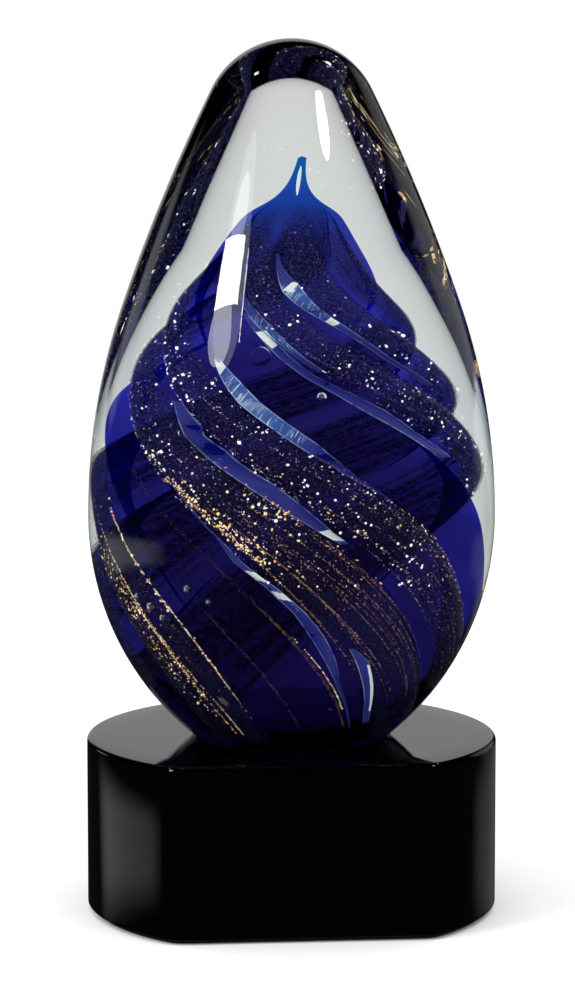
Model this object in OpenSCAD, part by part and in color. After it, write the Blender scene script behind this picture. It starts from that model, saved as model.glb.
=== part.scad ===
// Art glass award: an egg of clear glass cased over a twisted cobalt core, bonded to a black glass base.
// Origin: centre of the underside, on the axis of the egg. +Z is up and the flat of the base faces -Y.

/* [Base] */
// Diameter of the black glass base
base_d = 77; // [70:0.5:90]
// Height of the glass of the base, without its foot pad
base_h = 32; // [24:0.5:45]
// Distance from the axis of the base to its front flat
flat_depth = 30; // [26:0.5:32]
// Width of the polished bevels on the base
bevel = 0.8; // [0.4:0.1:1.5]

/* [Foot pad] */
// Thickness of the felt pad
pad_t = 1; // [0.6:0.1:2]
// How far the pad stays inside the edge of the base
pad_inset = 1.6; // [1.2:0.1:3]

/* [Bond] */
// Thickness of the film of clear adhesive
film_t = 0.2; // [0.1:0.05:0.4]

/* [Egg] */
// Height of the clear egg, from its ground foot to its crown
egg_h = 130; // [128:0.5:140]
// Diameter of the egg where it is widest
egg_d = 76; // [74:0.2:80]
// Height of the widest place above the foot
egg_widest = 41.5; // [40:0.5:44]
// Radius of the outline below the widest place
low_r = 53.5; // [51:0.5:58]
// Radius of the rounded crown
crown_r = 16.5; // [15:0.5:18]
// Radius of the long arc of the flank, below the crown
flank_r = 340; // [300:10:500]
// Half angle of the egg where the flank runs into the arc of its side
taper = 19; // [18:0.5:20]

/* [Cobalt core] */
// Diameter of the core where it is widest
core_d = 47.6; // [45:0.2:50]
// Height of the core, from its rounded end to the point that was pulled from it
core_h = 104.5; // [102:0.5:106]
// Clear glass between the foot and the core
core_gap = 0.8; // [0.6:0.1:2]
// Half angle of the taper of the core
core_taper = 24; // [23:0.5:25]
// Depth of the grooves between ribs, as a share of the radius
groove = 0.2; // [0.12:0.01:0.22]
// Twist at the bottom of the core, in degrees for each millimetre
twist_low = 0.9; // [0.6:0.1:2]
// Twist where it is tightest, high on the core, in degrees for each millimetre
twist_high = 5.2; // [4:0.1:6]
// Sideways offset of the core in the casing
core_x = -0.6; // [-1.2:0.1:0]
// Sideways lean of the pulled point
lean = 1.3; // [0:0.1:2]

/* [Layers on the core] */
// Thickness of a glitter veil at the middle of its rib
veil_t = 0.25; // [0.15:0.05:0.4]
// Thickness of a gold thread
thread_t = 0.3; // [0.2:0.05:0.5]
// Depth of the air that the casing traps in a groove
air_t = 1; // [0.6:0.1:1.2]

/* [Hidden] */
$fn = 120;

// Ribs worked by hand are not equal: the angle each one takes, going round from the first groove
rib_angles = [49, 55, 48, 56, 51, 51, 50];
// The ribs that carry a glitter veil, and the one that carries gold threads
veiled_ribs = [6, 0, 2, 3, 5];
threaded_rib = 4;

base_top = pad_t + base_h;
foot_z = base_top + film_t;
egg_top = foot_z + egg_h;
egg_r = egg_d / 2;
widest_z = foot_z + egg_widest;
foot_r = egg_r - low_r + sqrt(low_r * low_r - egg_widest * egg_widest);
// The side arc runs tangent into the flank, and the flank into the crown: crown_taper is the half angle where
// they meet
flank_reach =
    flank_r * cos(taper) - egg_r + tan(taper / 2) * (egg_top - crown_r - widest_z + flank_r * sin(taper));
crown_taper = taper / 2 + acos(flank_reach * cos(taper / 2) / (flank_r - crown_r));
flank_x = (crown_r - flank_r) * cos(crown_taper);
flank_z = egg_top - crown_r + (crown_r - flank_r) * sin(crown_taper);
side_r = (flank_z + flank_r * sin(taper) - widest_z) / sin(taper);

core_r = core_d / 2;
core_z = foot_z + core_gap;
core_top = core_z + core_h;
core_widest_z = widest_z;
core_side_r = 60;
core_taper_r = core_r - core_side_r * (1 - cos(core_taper));
core_low_h = 55;
// The shoulder is where the taper gives way to the pulled point
shoulder_z = core_top - 11;
point_r = 0.35;
point_flare = 7.5;
point_decay = 2.9;

// Grid of the core: columns follow the ribs round, rows go up and close in towards the point
rib_cols = 10;
cols = rib_cols * len(rib_angles);
rows = 30;
row_power = 1.25;
// The first groove, at the bottom of the core, seen from the front and turning towards +X
first_groove = 251;
twist_peak_z = core_z + 76;
twist_end_z = core_z + 86;
twist_tip = 1.6;
lean_z = core_z + 76;
layer_first_row = 2;
layer_last_row = 24;

// Outline of the egg, from the edge of its foot up to the crown
function arc(cx, cz, r, a0, a1, n) =
    [for (i = [0:n]) let (a = a0 + (a1 - a0) * i / n) [cx + r * cos(a), cz + r * sin(a)]];
egg_outline = concat(
    [[0, foot_z]],
    arc(egg_r - low_r, widest_z, low_r, -asin(egg_widest / low_r), 0, 14),
    [for (p = arc(egg_r - side_r, widest_z, side_r, 0, taper, 10)) if (p[1] > widest_z) p],
    [for (p = arc(flank_x, flank_z, flank_r, taper, crown_taper, 4)) if (p[1] > flank_z + flank_r * sin(taper) + 0.01) p],
    [
        for (p = arc(0, egg_top - crown_r, crown_r, crown_taper, 90, 12))
        if (p[1] > flank_z + flank_r * sin(crown_taper) + 0.01 && p[1] < egg_top - 0.001) p
    ],
    [[0, egg_top]]
);

// Radius of the core over its ribs: half an ellipse below, an arc and a taper above, then the pulled point
function core_side(h) =
    h < core_side_r * sin(core_taper)
        ? core_r - core_side_r + sqrt(core_side_r * core_side_r - h * h)
        : core_taper_r - (h - core_side_r * sin(core_taper)) * tan(core_taper);
function core_point(z) = point_r + point_flare * exp(-(z - shoulder_z) / point_decay);
function core_body(z) =
    z < core_widest_z
        ? core_r * sqrt(1 - pow((core_widest_z - z) / core_low_h, 2))
        : core_side(z - core_widest_z);
// The two meet in a soft corner: the inverse of the sum of their inverse sixth powers
function core_outline(z) =
    z < shoulder_z - 20 ? core_body(z)
        : z > shoulder_z + 6 ? core_point(z)
        : pow(pow(max(core_body(z), 0.1), -6) + pow(core_point(z), -6), -1 / 6);

// Twist in degrees for each millimetre: it tightens on the way up, then lets go at the point
function blend(a, b, z, z0, z1) = a + (b - a) * (z - z0) / (z1 - z0);
function twist_rate(z) =
    z < twist_peak_z ? blend(twist_low, twist_high, z, core_z, twist_peak_z)
        : z < twist_end_z ? blend(twist_high, twist_tip, z, twist_peak_z, twist_end_z)
        : twist_tip;
row_z = [for (j = [0:rows]) core_z + core_h * (1 - pow(1 - j / rows, row_power))];
row_twist = [
    for (j = 0, a = 0; j <= rows;
        a = a + (j < rows ? twist_rate((row_z[j] + row_z[j + 1]) / 2) * (row_z[j + 1] - row_z[j]) : 0),
        j = j + 1) a
];

// Angle of each column at the bottom, and how far across its rib it lies
rib_start = [for (k = 0, a = 0; k < len(rib_angles); a = a + rib_angles[k], k = k + 1) a];
function rib_of(c) = floor(c / rib_cols);
function across(c) = (c - rib_of(c) * rib_cols) / rib_cols;
function col_angle(c) = -90 + first_groove - rib_start[rib_of(c)] - rib_angles[rib_of(c)] * across(c);

// A rib is round over its middle and drops steeply into the grooves at its sides
function rib_height(c) = pow(sin(180 * across(c)), 0.6);
function rib_fade(j) = j <= layer_last_row ? 1 : max(0, 1 - (j - layer_last_row) / 4);
function solid_r(c, j) = core_outline(row_z[j]) * (1 - groove * rib_fade(j) * (1 - rib_height(c)));

// What lies between the core and the casing: veil, threads or trapped air, each nothing at its edges
function along(j) =
    j <= layer_first_row || j >= layer_last_row ? 0
        : min(1, 3 * sin(180 * (j - layer_first_row) / (layer_last_row - layer_first_row)));
function is_veiled(k) = len([for (v = veiled_ribs) if (v == k) v]) > 0;
function layer_t(c, j) =
    let (m = c - rib_of(c) * rib_cols)
    m == 0 ? air_t * along(j)
        : m > 2 && m < 8 && is_veiled(rib_of(c)) ? veil_t * sin(30 * (m - 2)) * along(j)
        : (m == 3 || m == 7) && rib_of(c) == threaded_rib ? thread_t * along(j)
        : 0;

function spot(c, j, r) =
    let (a = col_angle(c) - row_twist[j])
    [
        r * cos(a) + core_x + (lean - core_x) * pow(max(0, (row_z[j] - lean_z) / (core_top - lean_z)), 2),
        r * sin(a),
        row_z[j]
    ];
function inner_spot(c, j) = spot(c, j, solid_r(c, j));
function outer_spot(c, j) = spot(c, j, solid_r(c, j) + layer_t(c, j));

// The whole closed surface, with or without the layers
module core_skin(with_layers) {
    n = cols * (rows + 1);
    points = concat(
        [for (j = [0:rows]) for (c = [0:cols - 1]) with_layers ? outer_spot(c, j) : inner_spot(c, j)],
        [[core_x, 0, core_z], [lean, 0, core_top + point_r]]
    );
    faces = concat(
        [
            for (j = [0:rows - 1]) for (c = [0:cols - 1]) for (h = [0, 1])
            let (a = j * cols + c, b = j * cols + (c + 1) % cols)
            h == 0 ? [a, b, b + cols] : [a, b + cols, a + cols]
        ],
        [for (c = [0:cols - 1]) [n, (c + 1) % cols, c]],
        [for (c = [0:cols - 1]) [n + 1, rows * cols + c, rows * cols + (c + 1) % cols]]
    );
    polyhedron(points, faces, convexity = 8);
}

// A patch of layer between the core and the casing. Its outer and inner faces share their edge points,
// and it has no triangle in the corners, where all three points would be shared
module core_layer(first_col, last_col) {
    w = last_col - first_col + 1;
    h = layer_last_row - layer_first_row + 1;
    points = concat(
        [for (j = [0:h - 1]) for (c = [0:w - 1]) outer_spot(first_col + c, layer_first_row + j)],
        [for (j = [1:h - 2]) for (c = [1:w - 2]) inner_spot(first_col + c, layer_first_row + j)]
    );
    function on_edge(p) = p[0] == 0 || p[0] == w - 1 || p[1] == 0 || p[1] == h - 1;
    function out(p) = p[1] * w + p[0];
    function in(p) = on_edge(p) ? out(p) : w * h + (p[1] - 1) * (w - 2) + p[0] - 1;
    triangles = [
        for (j = [0:h - 2]) for (c = [0:w - 2])
        for (t = [[[c, j], [c + 1, j], [c + 1, j + 1]], [[c, j], [c + 1, j + 1], [c, j + 1]]])
        if (!(on_edge(t[0]) && on_edge(t[1]) && on_edge(t[2]))) t
    ];
    faces = concat(
        [for (t = triangles) [out(t[0]), out(t[1]), out(t[2])]],
        [for (t = triangles) [in(t[0]), in(t[2]), in(t[1])]]
    );
    polyhedron(points, faces, convexity = 8);
}

// A disc with the front flat and bevelled edges, r wide and flat_y deep to the flat
module flatted_disc(r, flat_y, z0, z1, edge) {
    difference() {
        rotate_extrude()
            polygon([
                [0, z0], [r - edge, z0], [r, z0 + edge],
                [r, z1 - edge], [r - edge, z1], [0, z1]
            ]);
        translate([-r - 1, -flat_y - r, z0 - 1]) cube([2 * r + 2, r, z1 - z0 + 2]);
        for (z = [z0, z1])
            translate([-r - 1, -flat_y, z])
                rotate([45, 0, 0])
                    translate([0, -edge / sqrt(2), -edge / sqrt(2)])
                        cube([2 * r + 2, edge * sqrt(2), edge * sqrt(2)]);
    }
}

module base_block() {
    color("#101012") flatted_disc(base_d / 2, flat_depth, pad_t, base_top, bevel);
}

module foot_pad() {
    pad_r = base_d / 2 - pad_inset;
    color("#26262a") difference() {
        cylinder(r = pad_r, h = pad_t);
        translate([-pad_r - 1, -flat_depth + pad_inset - pad_r, -1]) cube([2 * pad_r + 2, pad_r, pad_t + 2]);
    }
}

module bond_film() {
    color("#e8eef0") translate([0, 0, base_top]) cylinder(r = foot_r, h = film_t);
}

module clear_casing() {
    color("#e6eeee", 0.35) difference() {
        rotate_extrude() polygon(egg_outline);
        core_skin(true);
    }
}

module blue_core() {
    color("#1c1f8a") core_skin(false);
}

module glitter_veil(i) {
    start = veiled_ribs[i - 1] * rib_cols;
    color("#2a1f4e") core_layer(start + 2, start + 8);
}

module gold_thread(i) {
    start = threaded_rib * rib_cols + 4 * i - 2;
    color("#c9963c") core_layer(start, start + 2);
}

base_block();
foot_pad();
bond_film();
clear_casing();
blue_core();
glitter_veil(1);  // glitter_veil_1
glitter_veil(2);  // glitter_veil_2
glitter_veil(3);  // glitter_veil_3
glitter_veil(4);  // glitter_veil_4
glitter_veil(5);  // glitter_veil_5
gold_thread(1);  // gold_thread_1
gold_thread(2);  // gold_thread_2
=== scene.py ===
import math
import bpy
import numpy as np
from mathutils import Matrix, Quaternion, Vector


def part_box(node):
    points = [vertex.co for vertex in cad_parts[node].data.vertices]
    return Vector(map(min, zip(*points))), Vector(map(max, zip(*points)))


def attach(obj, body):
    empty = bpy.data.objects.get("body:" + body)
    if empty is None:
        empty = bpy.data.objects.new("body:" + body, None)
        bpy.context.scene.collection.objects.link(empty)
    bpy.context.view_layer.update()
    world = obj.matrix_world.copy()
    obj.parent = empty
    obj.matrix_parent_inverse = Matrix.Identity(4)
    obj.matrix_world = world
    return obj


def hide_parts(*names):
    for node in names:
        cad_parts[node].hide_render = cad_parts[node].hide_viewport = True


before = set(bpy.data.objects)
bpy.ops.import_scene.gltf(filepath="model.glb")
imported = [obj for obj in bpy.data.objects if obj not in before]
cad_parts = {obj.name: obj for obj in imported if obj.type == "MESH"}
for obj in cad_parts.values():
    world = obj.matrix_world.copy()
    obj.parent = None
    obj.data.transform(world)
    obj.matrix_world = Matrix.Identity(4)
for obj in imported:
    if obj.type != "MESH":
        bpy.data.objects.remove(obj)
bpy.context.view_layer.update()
print("frame loaded")

# lengths are worked out in millimetres and turned into metres where a mesh, a light or the camera is made
mm = 0.001


def span(node):
    low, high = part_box(node)
    return np.array(low) / mm, np.array(high) / mm


# a socket: Python expressions on it add Math nodes
class Wire:
    def __init__(self, shader, socket):
        self.shader = shader
        self.socket = socket

    def math(self, operation, *others):
        values = dict(enumerate((self,) + others))
        return self.shader.node("Math", {"operation": operation}, values)

    def __add__(self, other):
        return self.math("ADD", other)

    def __sub__(self, other):
        return self.math("SUBTRACT", other)

    def __rsub__(self, other):
        return self.shader.node("Math", {"operation": "SUBTRACT"}, {0: other, 1: self})

    def __mul__(self, other):
        return self.math("MULTIPLY", other)

    __radd__ = __add__
    __rmul__ = __mul__


class Shader:
    def __init__(self, owner):
        owner.use_nodes = True
        self.tree = owner.node_tree
        self.tree.nodes.clear()

    # any node: its type, its settings (set first), then the values or links of its sockets
    def node(self, kind, settings=None, sockets=None, out=0):
        made = self.tree.nodes.new("ShaderNode" + kind)
        for name, value in (settings or {}).items():
            if name == "stops":
                ramp = made.color_ramp
                while len(ramp.elements) < len(value):
                    ramp.elements.new(0.5)
                for element, (place, colour) in zip(ramp.elements, value):
                    element.position = place
                    element.color = colour
            else:
                setattr(made, name, value)
        for name, value in (sockets or {}).items():
            if isinstance(value, Wire):
                self.tree.links.new(value.socket, made.inputs[name])
            else:
                made.inputs[name].default_value = value
        return Wire(self, made.outputs[out]) if made.outputs else made

    def principled(self, sockets):
        self.surface(self.node("BsdfPrincipled", {}, sockets))

    def place(self):
        return self.node("TexCoord", out="Object")

    def uv(self):
        return self.node("TexCoord", out="UV")

    def part(self, vector, axis):
        return self.node("SeparateXYZ", {}, {0: vector}, out=axis)

    def stretched(self, vector, scale):
        return self.node("Mapping", {}, {"Vector": vector, "Scale": scale})

    def noise(self, vector, scale, detail=3.0, roughness=0.55):
        sockets = {"Vector": vector, "Scale": scale, "Detail": detail, "Roughness": roughness}
        return self.node("TexNoise", {}, sockets)

    # 0 below low, 1 above high, smooth between
    def step(self, value, low, high):
        sockets = {"Value": value, "From Min": low, "From Max": high}
        return self.node("MapRange", {"interpolation_type": "SMOOTHSTEP"}, sockets)

    def colours(self, factor, first, second):
        return self.node("Mix", {"data_type": "RGBA"}, {0: factor, 6: first, 7: second}, out=2)

    def bump(self, height, strength, distance):
        return self.node("Bump", {}, {"Height": height, "Strength": strength, "Distance": distance})

    def surface(self, wire):
        self.node("OutputMaterial", {}, {"Surface": wire})


def newMaterial(name):
    material = bpy.data.materials.new(name)
    return material, Shader(material)


def rgb(red, green, blue):
    return (red, green, blue, 1.0)


# a mesh from an array of points in millimetres and rows of point numbers
def linked(name, points, faces, smooth=True):
    mesh = bpy.data.meshes.new(name)
    mesh.from_pydata((np.asarray(points) * mm).tolist(), [], faces)
    mesh.update()
    mesh.polygons.foreach_set("use_smooth", np.full(len(mesh.polygons), smooth))
    piece = bpy.data.objects.new(name, mesh)
    bpy.context.scene.collection.objects.link(piece)
    return piece


# quads of a grid of rows by columns, as index rows; a ring's last column meets its first
def gridFaces(rows, cols, ring=True):
    wide = cols if ring else cols - 1
    j, i = np.meshgrid(np.arange(rows - 1), np.arange(wide), indexing="ij")
    a = j * cols + i
    b = j * cols + (i + 1) % cols
    return np.stack([a, b, b + cols, a + cols], -1).reshape(-1, 4)


# a closed skin: rings from bottom to top, then a fan of triangles to a point at each end
def closedRings(name, rings, lowPoint, highPoint):
    rows, cols = rings.shape[:2]
    count = rows * cols
    points = np.vstack([rings.reshape(-1, 3), lowPoint, highPoint])
    i = np.arange(cols)
    k = (i + 1) % cols
    low = np.stack([k, i, np.full(cols, count)], -1)
    high = np.stack([count - cols + i, count - cols + k, np.full(cols, count + 1)], -1)
    faces = gridFaces(rows, cols).tolist() + low.tolist() + high.tolist()
    return linked(name, points, faces)


# centre plus the radius times cosine and sine of evenly spaced angles, in degrees
def circleArc(centre, radius, start, end, count):
    angle = np.radians(np.linspace(start, end, count))
    return np.stack([centre[0] + radius * np.cos(angle), centre[1] + radius * np.sin(angle)], -1)


# every point of a profile (radius, height) goes round the vertical axis
def turned(profile, count):
    angle = np.linspace(0, 2 * np.pi, count, endpoint=False)
    radius = profile[:, None, 0]
    height = np.repeat(profile[:, 1:2], count, 1)
    return np.stack([radius * np.cos(angle), radius * np.sin(angle), height], -1)


def addUv(piece, uv):
    layer = piece.data.uv_layers.new(name="UVMap")
    corner = np.empty(len(piece.data.loops), dtype=np.int32)
    piece.data.loops.foreach_get("vertex_index", corner)
    layer.data.foreach_set("uv", np.asarray(uv)[corner].astype(np.float32).ravel())


def finishPiece(piece, slot, *materials):
    for material in materials:
        piece.data.materials.append(material)
    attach(piece, "root")


# azimuth is the angle round from the front, distance is level
cameraAt = {"azimuth": -5.0, "distance": 742.6, "height": 185.4, "aim": (-0.75, 0.0, 77.4), "lens": 144.5}


def addCamera(s):
    data = bpy.data.cameras.new("camera")
    data.lens = s["lens"]
    camera = bpy.data.objects.new("camera", data)
    bpy.context.scene.collection.objects.link(camera)
    turn = math.radians(s["azimuth"])
    place = Vector((math.sin(turn) * s["distance"], -math.cos(turn) * s["distance"], s["height"])) * mm
    camera.location = place
    camera.rotation_euler = (Vector(s["aim"]) * mm - place).to_track_quat("-Z", "Y").to_euler()
    bpy.context.scene.camera = camera


addCamera(cameraAt)
print("camera placed")

# black glass base, with the outline and the heights of its CAD node
blockLow, blockHigh = span("base_block")
block = {
    "radius": (blockHigh[0] - blockLow[0]) / 2,
    "flat": -blockLow[1],
    "bottom": blockLow[2],
    "top": blockHigh[2],
    "edge": 0.9,
    "edgeSteps": 7,
    "topRing": 6.0,
    "cornerPower": 70,
    "around": 720,
    "sharp": 25,
}


# outline of a disc with a flat at -Y, drawn in by inset: the polar radius is the smaller of the circle's and
# the flat's, joined by a power mean that leaves a small round at the two corners
def flattedRing(s, inset, height):
    angle = np.linspace(0, 2 * np.pi, s["around"], endpoint=False)
    towards = np.maximum(-np.sin(angle), 1e-3)
    circle = np.full_like(angle, s["radius"] - inset)
    flat = (s["flat"] - inset) / towards
    p = s["cornerPower"]
    radius = (circle**-p + flat**-p) ** (-1 / p)
    return np.stack([radius * np.cos(angle), radius * np.sin(angle), np.full_like(angle, height)], -1)


def flattedDisc(name, s, steps):
    rings = np.stack([flattedRing(s, inset, height) for inset, height in steps])
    middle = [(0, 0, steps[0][1]), (0, 0, steps[-1][1])]
    piece = closedRings(name, rings, *middle)
    piece.data.set_sharp_from_angle(angle=math.radians(s["sharp"]))
    return piece


def blackGlass():
    material, sh = newMaterial("blackGlass")
    place = sh.place()
    cloud = sh.noise(place, 40.0)
    smear = sh.noise(sh.stretched(place, (1.0, 1.0, 0.12)), 260.0, 4.0)
    dust = sh.step(sh.noise(place, 2600.0, 1.0), 0.72, 0.8)
    tone = sh.colours(cloud, rgb(0.0001, 0.0001, 0.00015), rgb(0.0004, 0.0004, 0.0006))
    colour = sh.colours(dust * 0.1, tone, rgb(0.05, 0.05, 0.055))
    roughness = 0.03 + 0.05 * sh.step(smear, 0.45, 0.8) + 0.2 * dust
    normal = sh.bump(cloud, 0.02, 0.001)
    sockets = {"Base Color": colour, "Roughness": roughness, "IOR": 1.52, "Normal": normal}
    sh.principled(sockets)
    return material


# quarter rounds at both edges, the lower one half the size
def makeBase(s):
    turn = np.radians(np.linspace(0, 90, s["edgeSteps"]))
    edge = s["edge"]
    steps = [(0.5 * edge * (1 - np.sin(a)), s["bottom"] + 0.5 * edge * (1 - np.cos(a))) for a in turn]
    steps += [(edge * (1 - np.cos(a)), s["top"] - edge * (1 - np.sin(a))) for a in turn]
    steps += [(edge + s["topRing"], s["top"])]
    piece = flattedDisc("baseBlock", s, steps)
    finishPiece(piece, "black_glass", blackGlass())
    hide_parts("base_block")


makeBase(block)
print("base made")

# felt pad under the base: it has the base's outline, drawn in, and a soft lower edge
padLow, padHigh = span("foot_pad")
pad = {
    "radius": padHigh[0],
    "flat": -padLow[1],
    "bottom": padLow[2],
    "top": padHigh[2],
    "soft": 0.25,
    "cut": (0.1, 0.05, 0.02),
    "cornerPower": block["cornerPower"],
    "around": block["around"],
    "sharp": block["sharp"],
}


def feltCloth():
    material, sh = newMaterial("blackFelt")
    place = sh.place()
    fibre = sh.noise(sh.stretched(place, (1.0, 1.0, 3.0)), 1800.0, 4.0, 0.7)
    matted = sh.noise(place, 260.0)
    tone = sh.colours(fibre, rgb(0.004, 0.004, 0.0045), rgb(0.014, 0.014, 0.015))
    colour = sh.colours(sh.step(matted, 0.4, 0.7) * 0.4, tone, rgb(0.007, 0.007, 0.008))
    sockets = {
        "Base Color": colour,
        "Roughness": 0.85 + 0.12 * fibre,
        "Specular IOR Level": 0.1,
        "Normal": sh.bump(fibre, 0.6, 0.0004),
    }
    sh.principled(sockets)
    return material


# steps of inset and height: round below, a small cut edge just under the base
def makePad(s):
    soft = s["soft"]
    inset, under, gap = s["cut"]
    steps = [
        (soft, s["bottom"]),
        (0.3 * soft, s["bottom"] + 0.3 * soft),
        (0, s["bottom"] + soft),
        (0, s["top"] - under),
        (inset, s["top"] - gap),
    ]
    piece = flattedDisc("footPad", s, steps)
    finishPiece(piece, "felt", feltCloth())
    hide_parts("foot_pad")


makePad(pad)
print("pad made")

# clear casing, a turned egg with a ground foot
eggLow, eggHigh = span("clear_casing")
egg = {
    "foot": eggLow[2],
    "top": eggHigh[2],
    "radius": (eggHigh[0] - eggLow[0]) / 2,
    "widest": 41.5,
    "lowRadius": 53.5,
    "crown": 16.5,
    "flank": 340.0,
    "taper": 19.0,
    "around": 320,
    "steps": (60, 50, 30, 70),
    "footRound": 0.3,
    "footEdge": (0.02, 0.12),
    "sharp": 50,
}


# foot edge, low arc, side arc, flank arc and crown, each tangent to the next. The crown takes over from the
# flank at the angle where the flank's circle holds both the crown's and the side's
def eggProfile(s):
    t = math.radians(s["taper"])
    widest = s["foot"] + s["widest"]
    centre = s["top"] - s["crown"]
    reach = s["flank"] * math.cos(t) - s["radius"]
    reach += math.tan(t / 2) * (centre - widest + s["flank"] * math.sin(t))
    join = t / 2 + math.acos(reach * math.cos(t / 2) / (s["flank"] - s["crown"]))
    inward = s["crown"] - s["flank"]
    flank = (inward * math.cos(join), centre + inward * math.sin(join))
    side = (flank[1] + s["flank"] * math.sin(t) - widest) / math.sin(t)
    low = math.degrees(math.asin(s["widest"] / s["lowRadius"]))
    turn = math.degrees(join)
    steps = s["steps"]
    lower = circleArc((s["radius"] - s["lowRadius"], widest), s["lowRadius"], -low, 0, steps[0])
    upper = circleArc((s["radius"] - side, widest), side, 0, s["taper"], steps[1])[1:]
    middle = circleArc(flank, s["flank"], s["taper"], turn, steps[2])[1:]
    crown = circleArc((0, centre), s["crown"], turn, 90, steps[3])[1:-1]
    ground = np.array([[lower[0, 0] - s["footRound"], lower[0, 1]]])
    lower[0] += s["footEdge"]
    return np.vstack([ground, lower, upper, middle, crown])


crystalIor = 1.55


# water clear, with a slight sway of its surface and the green of thick glass
def clearGlass():
    material, sh = newMaterial("clearGlass")
    sway = sh.noise(sh.place(), 28.0, 1.0)
    sockets = {"Transmission Weight": 1.0, "IOR": crystalIor, "Roughness": 0.0, "Base Color": rgb(1, 1, 1)}
    sockets["Normal"] = sh.bump(sway, 0.05, 0.002)
    glass = sh.node("BsdfPrincipled", {}, sockets)
    tint = sh.node("VolumeAbsorption", {}, {"Color": rgb(0.5, 0.78, 0.7), "Density": 3.5})
    sh.node("OutputMaterial", {}, {"Surface": glass, "Volume": tint})
    return material


# the ground foot is wetted by the adhesive, so light leaves it without bending
def wettedFoot():
    material, sh = newMaterial("wettedFoot")
    sockets = {"Transmission Weight": 1.0, "IOR": 1.0, "Roughness": 0.0, "Base Color": rgb(1, 1, 1)}
    sh.principled(sockets)
    return material


def makeCasing(s):
    profile = eggProfile(s)
    piece = closedRings("clearCasing", turned(profile, s["around"]), (0, 0, s["foot"]), (0, 0, s["top"]))
    finishPiece(piece, "clear_glass", clearGlass(), wettedFoot())
    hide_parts("clear_casing")
    # the fan that closes the foot comes last but one, before the crown's
    count = len(piece.data.polygons)
    foot = np.zeros(count, dtype=np.int32)
    foot[count - 2 * s["around"] : count - s["around"]] = 1
    piece.data.polygons.foreach_set("material_index", foot)
    piece.data.set_sharp_from_angle(angle=math.radians(s["sharp"]))


makeCasing(egg)
print("casing made")

# film of adhesive, dark where it wets the black glass, and a little inside its node so that no faces meet
filmLow, filmHigh = span("bond_film")
filmGap = 0.04
film = {
    "radius": filmHigh[0] - 0.15,
    "bottom": filmLow[2] + filmGap,
    "top": filmHigh[2] - filmGap,
    "around": 160,
    "sharp": 30,
}


def curedAdhesive():
    material, sh = newMaterial("curedAdhesive")
    cloud = sh.noise(sh.place(), 120.0)
    colour = sh.colours(cloud, rgb(0.0015, 0.0015, 0.002), rgb(0.004, 0.004, 0.005))
    sockets = {"Base Color": colour, "Roughness": 0.5, "IOR": 1.01, "Specular IOR Level": 0.0}
    sh.principled(sockets)
    return material


def makeFilm(s):
    profile = np.array([(s["radius"], s["bottom"]), (s["radius"], s["top"])])
    piece = closedRings("bondFilm", turned(profile, s["around"]), (0, 0, s["bottom"]), (0, 0, s["top"]))
    piece.data.set_sharp_from_angle(angle=math.radians(s["sharp"]))
    finishPiece(piece, "adhesive", curedAdhesive())
    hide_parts("bond_film")


makeFilm(film)
print("film made")

# twisted core: everything on it is placed by rib phase (0 to 7, whole at each groove) and height
core = {
    "bottom": span("blue_core")[0][2],
    "height": 104.5,
    "radius": 23.8,
    "widest": 74.7,
    "lowHeight": 55.0,
    "sideRadius": 60.0,
    "taper": 24.0,
    "pointRadius": 0.35,
    "pointFlare": 7.5,
    "pointDecay": 2.9,
    "shoulder": 11.0,
    "joinPower": 6.0,
    "groove": 0.2,
    "grooveEnd": 2.0,
    "grooveFade": 12.0,
    "roundness": 0.6,
    "ribs": [49, 55, 48, 56, 51, 51, 50],
    "firstGroove": 251.0,
    "twistLow": 0.9,
    "twistHigh": 5.2,
    "twistTip": 1.6,
    "twistPeak": 76.0,
    "twistEnd": 86.0,
    "twistSteps": 1200,
    "offset": -0.6,
    "lean": 1.3,
    "leanFrom": 76.0,
    "perRib": 44,
    "rows": 230,
    "rowCrowding": 1.25,
}
core["top"] = core["bottom"] + core["height"]


# half an ellipse up to the widest place, then an arc and a straight taper, and the pulled point:
# a small radius plus a flare that dies away exponentially. Body and point meet in a power mean
def coreOutline(z):
    s = core
    t = math.radians(s["taper"])
    below = s["radius"] * np.sqrt(1 - np.clip((s["widest"] - z) / s["lowHeight"], 0, 0.99) ** 2)
    h = np.maximum(z - s["widest"], 0)
    bend = s["sideRadius"] * math.sin(t)
    onArc = np.sqrt(s["sideRadius"] ** 2 - np.minimum(h, bend) ** 2) - s["sideRadius"]
    above = s["radius"] + onArc - np.maximum(h - bend, 0) * math.tan(t)
    body = np.where(z < s["widest"], below, np.maximum(above, 0.1))
    shoulder = s["top"] - s["shoulder"]
    point = s["pointRadius"] + s["pointFlare"] * np.exp(-(z - shoulder) / s["pointDecay"])
    p = s["joinPower"]
    return (body**-p + point**-p) ** (-1 / p)


# degrees turned since the bottom of the core: the rate is a broken line over height, summed up
def coreTwist(z):
    s = core
    heights = np.linspace(0, s["height"] + 1, s["twistSteps"])
    knots = [0, s["twistPeak"], s["twistEnd"]]
    rate = np.interp(heights, knots, [s["twistLow"], s["twistHigh"], s["twistTip"]])
    total = np.concatenate([[0], np.cumsum((rate[1:] + rate[:-1]) / 2 * np.diff(heights))])
    return np.interp(z - s["bottom"], heights, total)


ribEnds = np.concatenate([[0], np.cumsum(core["ribs"])])
ribCount = len(core["ribs"])


# sideways shift of the core's axis: steady below, then growing with the square of the height
def coreLean(z):
    s = core
    start = s["bottom"] + s["leanFrom"]
    share = np.maximum(0, (z - start) / (s["top"] - start)) ** 2
    return s["offset"] + (s["lean"] - s["offset"]) * share


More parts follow.
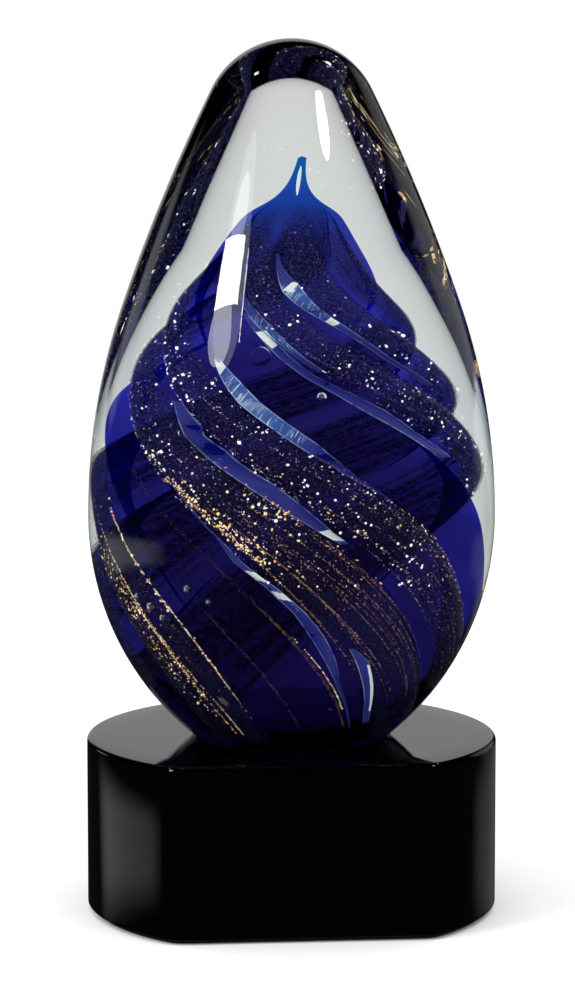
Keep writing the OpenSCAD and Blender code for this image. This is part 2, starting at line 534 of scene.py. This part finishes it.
# a rib is a power of a half sine across its width, and its groove is a share of the radius deep
def ribPoint(phase, z, lift=0.0):
    s = core
    phase, z, lift = np.broadcast_arrays(phase, z, lift)
    around = np.interp(phase % ribCount, np.arange(ribCount + 1), ribEnds)
    angle = np.radians(-90 + s["firstGroove"] - around - coreTwist(z))
    height = np.abs(np.sin(np.pi * phase)) ** s["roundness"]
    fade = np.clip((s["top"] - s["grooveEnd"] - z) / s["grooveFade"], 0, 1)
    radius = coreOutline(z) * (1 - s["groove"] * fade * (1 - height)) + lift
    return np.stack([radius * np.cos(angle) + coreLean(z), radius * np.sin(angle), z], -1)


# heights in metres between which each tint of the skin takes over from the one below it
tintHeights = {
    # the foot is painted nearly black: painted shade standing in for the black base that shows in the glass
    # there
    "foot": (0.0478, 0.0492),
    "body": (0.05, 0.105),
    "upper": (0.108, 0.12),
    "wisp": (0.125, 0.135),
    "point": (0.135, 0.139),
}


# the skin colours light as it goes in and out, and the mass takes more of it with depth; the point is paler
def cobaltGlass(s):
    material, sh = newMaterial("cobaltGlass")
    place = sh.place()
    height = sh.part(place, 2)
    cloud = sh.step(sh.noise(sh.stretched(place, (1.0, 1.0, 1.6)), 55.0, 3.0), 0.35, 0.65)
    body = sh.colours(cloud, rgb(0.035, 0.035, 0.6), rgb(0.06, 0.075, 0.86))
    deep = sh.colours(cloud, rgb(0.013, 0.011, 0.24), rgb(0.024, 0.022, 0.4))
    upper = sh.colours(cloud, rgb(0.028, 0.032, 0.36), rgb(0.05, 0.062, 0.54))
    body = sh.colours(sh.step(height, *s["upper"]), body, upper)
    tint = sh.colours(sh.step(height, *s["body"]), deep, body)
    # below the foot heights the tint turns nearly black, painted shade for the black base seen in the glass
    tint = sh.colours(sh.step(height, *s["foot"]), rgb(0.004, 0.003, 0.09), tint)
    wisp = height + 0.006 * sh.noise(sh.stretched(place, (1.0, 1.0, 0.2)), 420.0, 2.0)
    tint = sh.colours(sh.step(wisp, *s["wisp"]) * 0.8, tint, rgb(0.014, 0.1, 0.66))
    tint = sh.colours(sh.step(wisp, *s["point"]), tint, rgb(0.006, 0.15, 0.55))
    sockets = {"Transmission Weight": 1.0, "IOR": 1.0, "Roughness": 0.0, "Base Color": tint}
    glass = sh.node("BsdfPrincipled", {}, sockets)
    mass = sh.node("VolumeAbsorption", {}, {"Color": rgb(0.44, 0.14, 0.04), "Density": 44.0})
    sh.node("OutputMaterial", {}, {"Surface": glass, "Volume": mass})
    return material


# rings of rib points, closer together towards the drawn point
def makeCore(s):
    phase = -np.arange(ribCount * s["perRib"]) / s["perRib"]
    rise = 1 - (1 - np.linspace(0, 1, s["rows"])) ** s["rowCrowding"]
    z = s["bottom"] + s["height"] * rise
    rings = ribPoint(phase[None, :], z[:, None])
    low = (s["offset"], 0, s["bottom"])
    high = (s["lean"], 0, s["top"] + s["pointRadius"])
    piece = closedRings("blueCore", rings, low, high)
    finishPiece(piece, "cobalt_glass", cobaltGlass(tintHeights))
    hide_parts("blue_core")


makeCore(core)
print("core made")


# thickness of a lens: a half sine across (u) and a blunter one along (v), nothing on its edges
def lensThickness(thick, u, v):
    return thick * np.sin(np.pi * u) * np.sin(np.pi * v) ** 0.3


# a closed skin from an inner and an outer grid that share their edge points. Its uv map runs from 0 to 1
# across, and in centimetres along
def lensSkin(name, inner, outer):
    rows, cols = outer.shape[:2]
    inside = np.zeros((rows, cols), bool)
    inside[1:-1, 1:-1] = True
    numbers = np.arange(rows * cols).reshape(rows, cols)
    under = numbers.copy()
    under[inside] = rows * cols + np.arange(inside.sum())
    points = np.vstack([outer.reshape(-1, 3), inner[inside]])
    top = gridFaces(rows, cols, ring=False)
    top = top[~(np.isin(top, numbers[~inside]).all(1))]
    bottom = under.ravel()[top]
    # phase runs against the angle, so the outer face is turned over
    piece = linked(name, points, top[:, ::-1].tolist() + bottom.tolist())
    along = np.cumsum(np.r_[0, np.linalg.norm(np.diff(outer[:, cols // 2], axis=0), axis=1)])
    across = np.repeat(np.linspace(0, 1, cols)[None], rows, 0)
    places = np.stack([across, np.repeat(along[:, None] / 10, cols, 1)], -1)
    addUv(piece, np.vstack([places.reshape(-1, 2), places[inside]]))
    return piece, inside


# a lens that follows the core between two phases and two heights
def lensOnCore(name, phases, s):
    u, v = np.meshgrid(np.linspace(0, 1, s["cols"]), np.linspace(0, 1, s["rows"]))
    phase = phases[0] + (phases[1] - phases[0]) * u
    z = s["heights"][0] + (s["heights"][1] - s["heights"][0]) * v
    outer = ribPoint(phase, z, s["lift"] + lensThickness(s["thick"], u, v))
    return lensSkin(name, ribPoint(phase, z, s["lift"]), outer)[0]


# glitter veils on five ribs
veils = {
    "ribs": [6, 0, 2, 3, 5],
    "across": (0.05, 0.95),
    "heights": (36.0, 129.0),
    "lift": 0.05,
    "thick": 0.2,
    "cols": 40,
    "rows": 150,
    "bluer": (0.072, 0.1),  # in metres, where the specks turn from dark to bright violet
    "ends": (0.125, 0.136),  # in metres, where the veil thins out
}


# streaks drawn along the rib, with fine specks and coarser grains in them
def glitterVeil(s):
    material, sh = newMaterial("glitterVeil")
    uv = sh.uv()
    place = sh.place()
    drawn = sh.noise(sh.stretched(uv, (23.0, 0.6, 1.0)), 1.0, 3.0)
    specks = sh.noise(place, 2900.0, 1.0)
    grains = sh.noise(place, 1500.0, 2.0)
    height = sh.part(place, 2)
    tone = sh.colours(drawn, rgb(0.001, 0.0006, 0.008), rgb(0.008, 0.004, 0.05))
    speck = sh.colours(sh.step(height, *s["bluer"]), rgb(0.02, 0.015, 0.09), rgb(0.05, 0.045, 0.28))
    violet = sh.colours(sh.step(specks, 0.55, 0.66), tone, speck)
    colour = sh.colours(sh.step(grains, 0.66, 0.72) * 0.5, violet, rgb(0.16, 0.13, 0.4))
    across = sh.part(uv, 0)
    edge = sh.step(across + 0.3 * drawn, 0.14, 0.34) * sh.step(1.0 - across + 0.3 * drawn, 0.14, 0.34)
    dark = sh.step(drawn, 0.38, 0.6)
    edge = edge * (1 - sh.step(height + 0.01 * drawn, *s["ends"]))
    alpha = edge * (0.16 + 0.4 * dark * sh.step(grains, 0.3, 0.6) + 0.26 * sh.step(specks, 0.54, 0.62))
    sockets = {
        "Base Color": colour,
        "Roughness": 0.35 + 0.3 * grains,
        "Specular IOR Level": 0.15,
        "Alpha": alpha,
    }
    sh.principled(sockets)
    return material


def makeVeils(s):
    material = glitterVeil(s)
    for number, rib in enumerate(s["ribs"], 1):
        phases = (rib + s["across"][0], rib + s["across"][1])
        piece = lensOnCore(f"glitterVeil{number}", phases, s)
        finishPiece(piece, "glitter_glass", material)
        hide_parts(f"glitter_veil_{number}")


makeVeils(veils)
print("veils made")

# gold threads on the plain rib below the veils: places across it, and how strongly each one shows
threads = {
    "rib": 4,
    "places": (0.2, 0.7),
    "strength": (0.5, 0.12),
    "width": 0.04,
    "heights": (40.0, 84.0),
    "lift": 0.05,
    "thick": 0.15,
    "cols": 7,
    "rows": 120,
    "shown": (0.06, 0.064),  # in metres, where the gold thins out
}


# grains of gold drawn out along the thread
def goldThread(number, strength, s):
    material, sh = newMaterial(f"goldThread{number}")
    place = sh.place()
    height = sh.part(place, 2)
    grains = sh.noise(place, 2400.0, 2.0)
    drawn = sh.noise(sh.stretched(sh.uv(), (9.0, 2.0, 1.0)), 1.0, 2.0)
    colour = sh.colours(sh.step(grains, 0.4, 0.65), rgb(0.05, 0.02, 0.04), rgb(0.55, 0.3, 0.08))
    thinned = 1 - 0.85 * sh.step(height, *s["shown"])
    sockets = {
        "Base Color": colour,
        "Metallic": 0.5 + 0.4 * grains,
        "Roughness": 0.3 + 0.3 * grains,
        "Alpha": sh.step(drawn + 0.4 * grains, 0.6, 0.85) * thinned * strength,
    }
    sh.principled(sockets)
    return material


def makeThreads(s):
    for number, (place, strength) in enumerate(zip(s["places"], s["strength"]), 1):
        middle = s["rib"] + place
        phases = (middle - s["width"] / 2, middle + s["width"] / 2)
        piece = lensOnCore(f"goldThread{number}", phases, s)
        finishPiece(piece, "gold_glass", goldThread(number, strength, s))
        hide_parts(f"gold_thread_{number}")


makeThreads(threads)
print("threads made")

# flat ribbons of trapped air that bridge the grooves. For each one, from bottom to top: height, phase of
# either edge, and painted reflection (0 dark, 1 white): the studio light that the air reflects, painted into
# the ribbon's colour
ribbons = {
    "airRibbonA": [
        (97.0, 6.84, 6.9, 0.3),
        (103.0, 6.86, 6.93, 0.35),
        (108.0, 6.8, 6.9, 0.4),
        (110.4, 6.78, 6.94, 0.5),
        (113.2, 6.78, 7.04, 0.75),
        (115.5, 6.76, 7.1, 0.85),
        (117.2, 6.77, 7.08, 0.35),
        (119.5, 6.93, 7.05, 0.3),
        (122.0, 6.98, 7.03, 0.25),
    ],
    "airRibbonB": [
        (102.0, 0.87, 0.95, 0.3),
        (104.3, 0.86, 0.95, 0.35),
        (107.0, 0.8, 0.93, 0.75),
        (110.0, 0.7, 0.95, 0.75),
        (112.5, 0.68, 0.9, 0.4),
        (115.0, 0.74, 0.86, 0.25),
    ],
    "airRibbonC": [
        (85.0, 0.9, 1.0, 0.5),
        (88.0, 0.93, 1.12, 0.45),
        (91.0, 0.94, 1.13, 0.4),
        (95.0, 0.92, 1.15, 0.35),
        (98.5, 0.96, 1.14, 0.3),
        (101.5, 1.04, 1.16, 0.3),
        (104.5, 1.02, 1.13, 0.35),
        (107.5, 0.96, 1.08, 0.5),
        (111.5, 0.94, 1.02, 0.4),
    ],
    "airRibbonD": [
        (80.0, 2.08, 2.12, 0.2),
        (84.0, 2.1, 2.18, 0.25),
        (87.0, 2.02, 2.17, 0.3),
        (90.0, 1.97, 2.17, 0.5),
        (93.5, 1.95, 2.15, 0.85),
        (97.0, 1.92, 2.14, 0.9),
        (100.5, 1.84, 2.07, 0.75),
        (103.8, 1.8, 2.0, 0.5),
    ],
    "airRibbonE": [
        (73.0, 2.98, 3.06, 0.4),
        (75.0, 2.99, 3.1, 0.35),
        (79.0, 2.95, 3.13, 0.3),
        (83.6, 2.9, 3.15, 0.34),
        (87.0, 2.98, 3.17, 0.36),
        (91.0, 3.03, 3.17, 0.36),
        (96.0, 2.92, 3.06, 0.3),
    ],
    "airRibbonF": [
        (40.0, 4.08, 4.12, 0.1),
        (48.0, 4.02, 4.1, 0.28),
        (54.0, 3.94, 4.04, 0.33),
        (58.0, 3.9, 4.0, 0.34),
        (62.0, 3.88, 3.97, 0.36),
        (66.0, 3.9, 4.0, 0.5),
        (70.0, 3.97, 4.04, 0.4),
        (76.0, 3.93, 3.98, 0.3),
        (84.0, 3.72, 3.76, 0.2),
    ],
    "airRibbonG": [
        (41.0, 3.87, 3.92, 0.3),
        (44.0, 3.84, 3.9, 0.3),
        (48.0, 3.78, 3.86, 0.36),
        (53.0, 3.72, 3.82, 0.4),
        (55.5, 3.76, 3.8, 0.4),
    ],
}
# four corners (phase, height) of each painted glint on the ribbons: a softbox's white reflection, painted
# into the ribbon's colour
paintedGlints = [
    [(7.1, 115.8), (6.85, 117.4), (6.75, 117.2), (6.95, 115.6)],
    [(6.94, 110.3), (6.77, 111.3), (6.77, 110.1), (6.95, 109.3)],
    [(1.06, 108.6), (0.88, 109.0), (0.96, 106.6), (1.08, 106.0)],
    [(0.89, 102.4), (0.67, 103.5), (0.69, 102.1), (0.91, 101.0)],
    [(2.01, 103.7), (1.78, 104.8), (1.78, 103.2), (2.07, 101.0)],
    [(3.1, 75.4), (2.97, 75.6), (2.97, 73.4), (3.1, 73.8)],
    [(4.05, 69.0), (3.9, 68.4), (3.9, 66.9), (4.05, 67.3)],
    [(3.98, 65.6), (3.84, 65.0), (3.84, 63.6), (3.98, 64.2)],
    [(3.84, 43.5), (3.87, 43.5), (3.755, 52.5), (3.72, 52.5)],
]
ribbonMesh = {"cols": 26, "rows": 240, "lift": 0.12, "thick": 0.3}


# tone by the painted reflection, dark to white; fine pale streaks across the brightly painted stretches and
# pale rims, both painted highlights; and a painted glow of the same colour
def airRibbon():
    material, sh = newMaterial("airRibbon")
    uv = sh.uv()
    shine = sh.node("Attribute", {"attribute_name": "shine"}, out="Fac")
    across = sh.part(uv, 0)
    along = sh.part(uv, 1) + 0.3 * across
    square = sh.node("CombineXYZ", {}, {0: across, 1: along})
    fine = sh.noise(sh.stretched(square, (0.5, 30.0, 1.0)), 1.0, 4.0, 0.75)
    broad = sh.noise(sh.stretched(square, (0.6, 5.0, 1.0)), 1.0, 2.0)
    stops = [
        (0.0, rgb(0.008, 0.006, 0.06)),
        (0.3, rgb(0.022, 0.024, 0.2)),
        (0.5, rgb(0.03, 0.04, 0.28)),
        (0.88, rgb(0.045, 0.11, 0.38)),
        (0.96, rgb(0.85, 0.92, 0.86)),
    ]
    tone = sh.node("ValToRGB", {"stops": stops}, {0: shine})
    striped = sh.step(shine, 0.45, 0.7) * (1 - sh.step(shine, 0.9, 0.95))
    streaks = striped * sh.step(fine, 0.52, 0.64) * sh.step(broad, 0.4, 0.54)
    middle = (across - 0.5).math("ABSOLUTE")
    # pale rims: a painted highlight along the ribbon's edges
    paintedRim = sh.step(middle, 0.41, 0.47) * sh.step(broad, 0.34, 0.55) * sh.step(shine, 0.2, 0.45)
    colour = sh.colours(streaks, tone, rgb(0.7, 0.88, 0.98))
    colour = sh.colours(paintedRim * 0.8, colour, rgb(0.5, 0.72, 0.9))
    sockets = {
        "Base Color": colour,
        "Roughness": 0.3 + 0.2 * fine,
        "Specular IOR Level": 0.2,
        # the ribbons glow a little, a painted glow, though they are no lamp
        "Emission Color": colour,
        "Emission Strength": 0.25,
    }
    sh.principled(sockets)
    return material


# a point is inside a painted glint when it is on the same side of all four edges
def insidePaintedGlint(phase, z, corners):
    ring = np.array(corners)
    turns = []
    for (a, b), (c, d) in zip(ring, np.roll(ring, -1, 0)):
        turns.append((c - a) * (z - b) - (d - b) * (phase - a))
    turns = np.array(turns)
    return (turns > 0).all(0) | (turns < 0).all(0)


# inner face: straight from edge to edge, so the ribbon is flat. Outer face: a lens on it
def makeRibbons(s):
    material = airRibbon()
    for name, knots in ribbons.items():
        heights, first, last, shine = np.array(knots).T
        u, v = np.meshgrid(np.linspace(0, 1, s["cols"]), np.linspace(0, 1, s["rows"]))
        z = heights[0] + (heights[-1] - heights[0]) * v
        low, high = np.interp(z, heights, first), np.interp(z, heights, last)
        phase = low + (high - low) * u
        share = u[..., None]
        inner = ribPoint(low, z, s["lift"]) * (1 - share) + ribPoint(high, z, s["lift"]) * share
        outward = inner * (1, 1, 0)
        outward /= np.linalg.norm(outward, axis=-1, keepdims=True)
        thick = lensThickness(s["thick"], u, v)
        piece, inside = lensSkin(name, inner, inner + outward * thick[..., None])
        paintedReflectionHere = np.interp(z, heights, shine)
        # inside each painted glint the painted reflection is set to full white
        for corners in paintedGlints:
            for turn in (-ribCount, 0, ribCount):
                paintedReflectionHere = np.where(insidePaintedGlint(phase + turn, z, corners), 1.0, paintedReflectionHere)
        values = np.concatenate([paintedReflectionHere.ravel(), paintedReflectionHere[inside]])
        piece.data.attributes.new("shine", "FLOAT", "POINT").data.foreach_set("value", values)
        finishPiece(piece, "clear_glass", material)


makeRibbons(ribbonMesh)
print("air ribbons made")

# metal flakes in rows along the ribs, crowded about a few heights in each row
flakes = {
    "seed": 11,
    "flatness": 0.22,
    "stretch": (0.8, 1.3),
    "tilt": 0.45,
    "lift": (0.25, 0.5),
    "rows": 14,
    "rowsAcross": (0.08, 0.92),
    "crowds": 5,
    "spread": 4.5,
    "limits": (37.0, 131.0),
    "sway": 0.018,
    "swayPitch": 0.21,
    "swayShift": 40.0,
}
# how many flakes, their half size, the ribs and the heights they lie between, how far they stray from their
# row, and the places of the rows when they are not scattered
flakeSorts = {
    "violetFlakes": [
        dict(count=4000, size=(0.04, 0.085), ribs=(6, 0, 0, 2, 3), heights=(44, 126), stray=0.008),
        dict(count=520, size=(0.09, 0.15), ribs=(6, 0, 0, 2, 3), heights=(60, 127), stray=0.02),
    ],
    "paleFlakes": [
        dict(count=560, size=(0.05, 0.1), ribs=(2, 2, 3, 0), heights=(66, 112), stray=0.006),
        dict(count=260, size=(0.16, 0.26), ribs=(2, 2, 2, 3, 3, 0, 6), heights=(64, 120), stray=0.03),
        dict(count=44, size=(0.28, 0.4), ribs=(2, 2, 3, 3, 0, 6), heights=(70, 117), stray=0.04),
    ],
    "goldFlakes": [
        dict(count=480, size=(0.05, 0.1), ribs=(3, 3, 2), heights=(62, 88), stray=0.005),
        dict(count=180, size=(0.14, 0.26), ribs=(3, 3, 2), heights=(66, 88), stray=0.012),
        dict(count=30, size=(0.28, 0.36), ribs=(3,), heights=(68, 88), stray=0.02),
        dict(count=170, size=(0.12, 0.3), ribs=(3,), heights=(70, 84), places=(0.7, 0.75, 0.8), stray=0.02),
        dict(count=130, size=(0.06, 0.15), ribs=(4,), heights=(44, 58), places=(0.17,), stray=0.004),
        dict(count=340, size=(0.06, 0.13), ribs=(5,), heights=(42, 76), places=(0.12,), stray=0.003),
        dict(count=30, size=(0.18, 0.28), ribs=(5,), heights=(50, 78), places=(0.12,), stray=0.01),
        dict(count=560, size=(0.06, 0.14), ribs=(5,), heights=(38, 80), places=(0.38, 0.43), stray=0.005),
        dict(count=200, size=(0.1, 0.24), ribs=(5,), heights=(42, 76), places=(0.45, 0.52, 0.6), stray=0.03),
    ],
    "copperFlakes": [
        dict(count=2600, size=(0.05, 0.1), ribs=(3, 3, 3, 2), heights=(46, 80), stray=0.003),
        dict(count=150, size=(0.1, 0.18), ribs=(2, 3, 5), heights=(50, 84), stray=0.012),
        dict(count=500, size=(0.04, 0.09), ribs=(5,), heights=(40, 66), stray=0.008),
    ],
}


# flattened octahedra: six points and eight faces each, laid on the core's surface with a random tilt
def makeFlakes(name, sorts, material, s, seed):
    random = np.random.default_rng(seed)
    phase, z, size = [], [], []
    for sort in sorts:
        count = sort["count"]
        low, high = sort["heights"]
        rib = random.choice(sort["ribs"], count)
        rows = random.uniform(*s["rowsAcross"], (ribCount, s["rows"]))
        if "places" in sort:
            rows = np.tile(sort["places"], (ribCount, 1))
        row = random.integers(0, rows.shape[1], count)
        centres = random.triangular(low, (low + high) / 2, high, (*rows.shape, s["crowds"]))
        crowd = random.integers(0, s["crowds"], count)
        height = centres[rib, row, crowd] + random.normal(0, s["spread"], count)
        height = high - np.abs(high - low - np.abs(height - low))  # turned back at either limit
        sway = s["sway"] * np.sin(s["swayPitch"] * height + s["swayShift"] * rows[rib, row])
        phase.append(rib + rows[rib, row] + sway + random.normal(0, sort["stray"], count))
        z.append(np.clip(height, *s["limits"]))
        size.append(random.uniform(*sort["size"], count))
    phase, z, size = np.concatenate(phase), np.concatenate(z), np.concatenate(size)
    lift = random.uniform(*s["lift"], len(z))
    # small steps along and across the rib give the skin's normal
    centre = ribPoint(phase, z, lift)
    side = ribPoint(phase + 0.01, z, lift) - centre
    up = ribPoint(phase, z + 0.1, lift) - centre
    normal = np.cross(up, side)
    normal /= np.linalg.norm(normal, axis=1, keepdims=True)
    normal += random.normal(0, s["tilt"], normal.shape)
    normal /= np.linalg.norm(normal, axis=1, keepdims=True)
    first = np.cross(normal, random.normal(0, 1, normal.shape))
    first /= np.linalg.norm(first, axis=1, keepdims=True)
    second = np.cross(normal, first)
    wide = size[:, None]
    long = wide * random.uniform(*s["stretch"], wide.shape)
    thin = normal * wide * s["flatness"]
    corners = [first * long, second * wide, -first * long, -second * wide, thin, -thin]
    points = np.stack([centre + c for c in corners], 1).reshape(-1, 3)
    upper = [(0, 1, 4), (1, 2, 4), (2, 3, 4), (3, 0, 4)]
    lower = [(1, 0, 5), (2, 1, 5), (3, 2, 5), (0, 3, 5)]
    faces = np.arange(len(z))[:, None, None] * len(corners) + np.array(upper + lower)
    piece = linked(name, points, faces.reshape(-1, 3).tolist(), smooth=False)
    finishPiece(piece, "gold_glass", material)


# metal whose colour wanders between two tones, and which glows a little: a painted glint, standing in for the
# light that glitter catches
def flakeMetal(name, dark, light, paintedGlow):
    material, sh = newMaterial(name)
    spot = sh.noise(sh.place(), 900.0, 1.0)
    colour = sh.colours(sh.step(spot, 0.35, 0.65), dark, light)
    sockets = {
        "Base Color": colour,
        "Metallic": 0.75,
        "Roughness": 0.28 + 0.2 * spot,
        "Emission Color": colour,
        "Emission Strength": paintedGlow,
    }
    sh.principled(sockets)
    return material


# the last number of each look is its painted glow, standing in for glints
flakeLooks = {
    "violetFlakes": flakeMetal("violetFlake", rgb(0.1, 0.07, 0.38), rgb(0.4, 0.32, 0.75), 0.1),
    "paleFlakes": flakeMetal("paleFlake", rgb(0.9, 0.72, 0.8), rgb(1.0, 0.98, 0.92), 0.9),
    "goldFlakes": flakeMetal("goldFlake", rgb(0.8, 0.45, 0.16), rgb(1.0, 0.88, 0.6), 0.6),
    "copperFlakes": flakeMetal("copperFlake", rgb(0.28, 0.12, 0.06), rgb(0.7, 0.42, 0.2), 0.26),
}
for order, (flakeName, sorts) in enumerate(flakeSorts.items()):
    makeFlakes(flakeName, sorts, flakeLooks[flakeName], flakes, flakes["seed"] + order)
print("flakes made")

# small bubbles left in the glass: phase, height, lift off the core and radius of each
bubbles = [
    (1.29, 98.5, 0.3, 0.85),
    (5.23, 61.7, 0.4, 0.75),
    (5.2, 60.0, 0.5, 0.6),
    (5.3, 63.2, 0.4, 0.5),
    (4.62, 65.4, 0.5, 0.7),
    (4.55, 63.4, 0.4, 0.5),
    (1.33, 78.5, 0.5, 0.4),
    (1.1, 79.5, 0.4, 0.35),
]
faintBubbles = [(1.24, 105.2, 0.2, 1.7)]
bubbleMesh = {"steepest": 84, "rows": 22, "around": 36}


# round shells: rings of a sphere from pole to pole
def makeBubbles(name, places, ior, s):
    material, sh = newMaterial(name)
    sway = sh.bump(sh.noise(sh.place(), 900.0, 1.0), 0.05, 0.0002)
    sh.surface(sh.node("BsdfGlass", {}, {"IOR": ior, "Roughness": 0.0, "Normal": sway}))
    for number, (phase, z, lift, radius) in enumerate(places, 1):
        centre = ribPoint(phase, z, lift + radius)
        half = circleArc((0, 0), radius, -s["steepest"], s["steepest"], s["rows"])
        rings = turned(half, s["around"]) + centre
        low, high = centre - (0, 0, radius), centre + (0, 0, radius)
        piece = closedRings(f"{name}{number}", rings, low, high)
        finishPiece(piece, "clear_glass", material)


makeBubbles("bubble", bubbles, 1 / crystalIor, bubbleMesh)
makeBubbles("faintBubble", faintBubbles, 0.96, bubbleMesh)
print("bubbles made")

# needle of air in the drawn point; forward is its place as a share of the point's radius
needle = {"heights": (131.6, 137.2), "radius": 0.26, "forward": 0.95, "rows": 30, "around": 20}


# the needle of air shows white by the light that it reflects: that reflection is painted into its colour, and
# it glows a little, a painted glow
def airPaintedWhite():
    material, sh = newMaterial("airPaintedWhite")
    grain = sh.noise(sh.place(), 700.0, 2.0)
    colour = sh.colours(grain, rgb(0.7, 0.85, 0.95), rgb(0.95, 0.98, 1.0))
    sockets = {"Base Color": colour, "Roughness": 0.2, "Emission Color": colour, "Emission Strength": 0.25}
    sh.principled(sockets)
    return material


# a spindle, whose radius is a power of a half sine, that follows the lean of the point against its front
def makeNeedle(s):
    low, high = s["heights"]
    v = np.linspace(0, 1, s["rows"] + 2)[1:-1]
    z = low + (high - low) * v
    radius = s["radius"] * np.sin(np.pi * v) ** 0.6
    x = coreLean(z)
    rings = turned(np.stack([radius, z], -1), s["around"])
    forward = -s["forward"] * coreOutline(z)
    rings += np.stack([x, forward, np.zeros_like(z)], -1)[:, None]
    ends = [(x[0], forward[0], low), (x[-1], forward[-1], high)]
    piece = closedRings("airNeedle", rings, *ends)
    finishPiece(piece, "clear_glass", airPaintedWhite())


makeNeedle(needle)
print("needle made")

# floor, lights and world: half the floor's width and where it fades out, in metres, then the point that the
# softboxes face and how far off they are, then strengths of the world
studio = {
    "floor": 3.0,
    "fade": (0.3, 0.9),
    "target": (-12.0, -25.0, 118.0),
    "distance": 700.0,
    "backdrop": 0.8,
    "ambient": 1.25,
    "below": 0.01,
}
# shape, azimuth and elevation of the middle, width and height in mm, roll, and brightness
softboxes = {
    "keyWhole": ("ELLIPSE", -53.0, 32.2, 235, 325, 18, 1.6),
    "keyHigh": ("ELLIPSE", -55.6, 37.6, 130, 90, 16, 3.2),
    "keyMiddle": ("RECTANGLE", -55.4, 32.6, 190, 76, 12, 22.0),
    "keyLow": ("ELLIPSE", -55.6, 25.4, 180, 150, 6, 5.0),
    "keyRim": ("RECTANGLE", -41.6, 31.0, 8, 130, 8, 16.0),
    "fill": ("ELLIPSE", 43.4, 45.9, 132, 86, 0, 20.0),
    "glintLeft": ("ELLIPSE", -105.2, 58.7, 60, 60, 0, 14.0),
    "glintRight": ("ELLIPSE", 126.1, 52.7, 60, 60, 0, 10.0),
}
# cards seen only in reflections: direction of the middle, how near to it (cosine) a card begins and is full,
# and brightness. Only reflections that point down between the low edges see the low cards
cards = {
    "back": ((0.0, 0.98, 0.2), (0.93, 0.975), 0.55),
    "leftHigh": ((-0.67, 0.73, 0.14), (0.986, 0.998), 0.5),
    "rightHigh": ((0.68, 0.71, 0.17), (0.93, 0.98), 0.3),
}
lowCards = {
    "left": ((-0.92, 0.36, -0.15), (0.84, 0.97), 0.5),
    "right": ((0.62, 0.77, -0.15), (0.9, 0.98), 0.13),
}
lowEdges = {"lower": (-0.32, -0.25), "upper": (-0.2, -0.15)}


# a square that turns clear with distance, so that it has no horizon
def addFloor(s):
    half = s["floor"]
    corners = np.array([(-half, -half, 0), (half, -half, 0), (half, half, 0), (-half, half, 0)]) / mm
    floor = linked("floor", corners, [(0, 1, 2, 3)], smooth=False)
    material, sh = newMaterial("paleFloor")
    away = sh.node("VectorMath", {"operation": "LENGTH"}, {0: sh.place()}, out="Value")
    grain = sh.noise(sh.place(), 60.0)
    colour = sh.colours(grain, rgb(0.9, 0.9, 0.9), rgb(0.94, 0.94, 0.94))
    plain = sh.node("BsdfPrincipled", {}, {"Base Color": colour, "Roughness": 0.9, "Specular IOR Level": 0.0})
    clear = sh.node("BsdfTransparent")
    sh.surface(sh.node("MixShader", {}, {0: sh.step(away, *s["fade"]), 1: plain, 2: clear}))
    floor.data.materials.append(material)
    floor.visible_glossy = False
    floor.visible_transmission = False


# a lamp as bright at any size: its power is its brightness times pi times its area
def addSoftbox(name, s, shape, azimuth, elevation, width, height, roll, brightness):
    a, e = math.radians(azimuth), math.radians(elevation)
    towards = Vector((math.sin(a) * math.cos(e), -math.cos(a) * math.cos(e), math.sin(e)))
    light = bpy.data.lights.new(name, "AREA")
    light.shape = shape
    light.size = width * mm
    light.size_y = height * mm
    area = light.size * light.size_y * (math.pi / 4 if shape == "ELLIPSE" else 1)
    light.energy = brightness * math.pi * area
    lamp = bpy.data.objects.new(name, light)
    bpy.context.scene.collection.objects.link(lamp)
    lamp.location = (Vector(s["target"]) + towards * s["distance"]) * mm
    turned = towards.to_track_quat("Z", "Y") @ Quaternion((0, 0, 1), math.radians(roll))
    lamp.rotation_euler = turned.to_euler()


# what the camera sees, what lights matt surfaces, what shows through glass and what shows in reflections
# differ, as they do on a light table with cards round it
def addWorld(s):
    world = bpy.data.worlds.new("studio")
    bpy.context.scene.world = world
    sh = Shader(world)
    world.cycles.sampling_method = "NONE"
    direction = sh.node("TexCoord", out="Generated")
    height = sh.part(direction, 2)
    mirrored = (1 - sh.step(height, -0.1, 0.0)) * s["below"]
    low = sh.step(height, *lowEdges["lower"]) * (1 - sh.step(height, *lowEdges["upper"]))
    for name, (towards, edges, brightness) in {**cards, **lowCards}.items():
        near = sh.node("VectorMath", {"operation": "DOT_PRODUCT"}, {0: direction, 1: towards}, out="Value")
        card = sh.step(near, *edges) * brightness
        mirrored = mirrored + (card * low if name in lowCards else card)
    glossy = sh.node("LightPath", out="Is Glossy Ray")
    through = sh.node("LightPath", out="Is Transmission Ray")
    seen = sh.node("LightPath", out="Is Camera Ray")
    bright = glossy * mirrored + (1 - glossy) * s["ambient"]
    bright = through * s["backdrop"] + (1 - through) * bright
    bright = seen + (1 - seen) * bright
    sky = sh.node("Background", {}, {"Color": rgb(1, 1, 1), "Strength": bright})
    sh.node("OutputWorld", {}, {"Surface": sky})


addFloor(studio)
for boxName, values in softboxes.items():
    addSoftbox(boxName, studio, *values)
addWorld(studio)
scene = bpy.context.scene
scene.view_settings.view_transform = "Standard"
scene.cycles.max_bounces = 20
scene.cycles.transmission_bounces = 18
scene.cycles.transparent_max_bounces = 24
scene.cycles.glossy_bounces = 10
print("studio made")
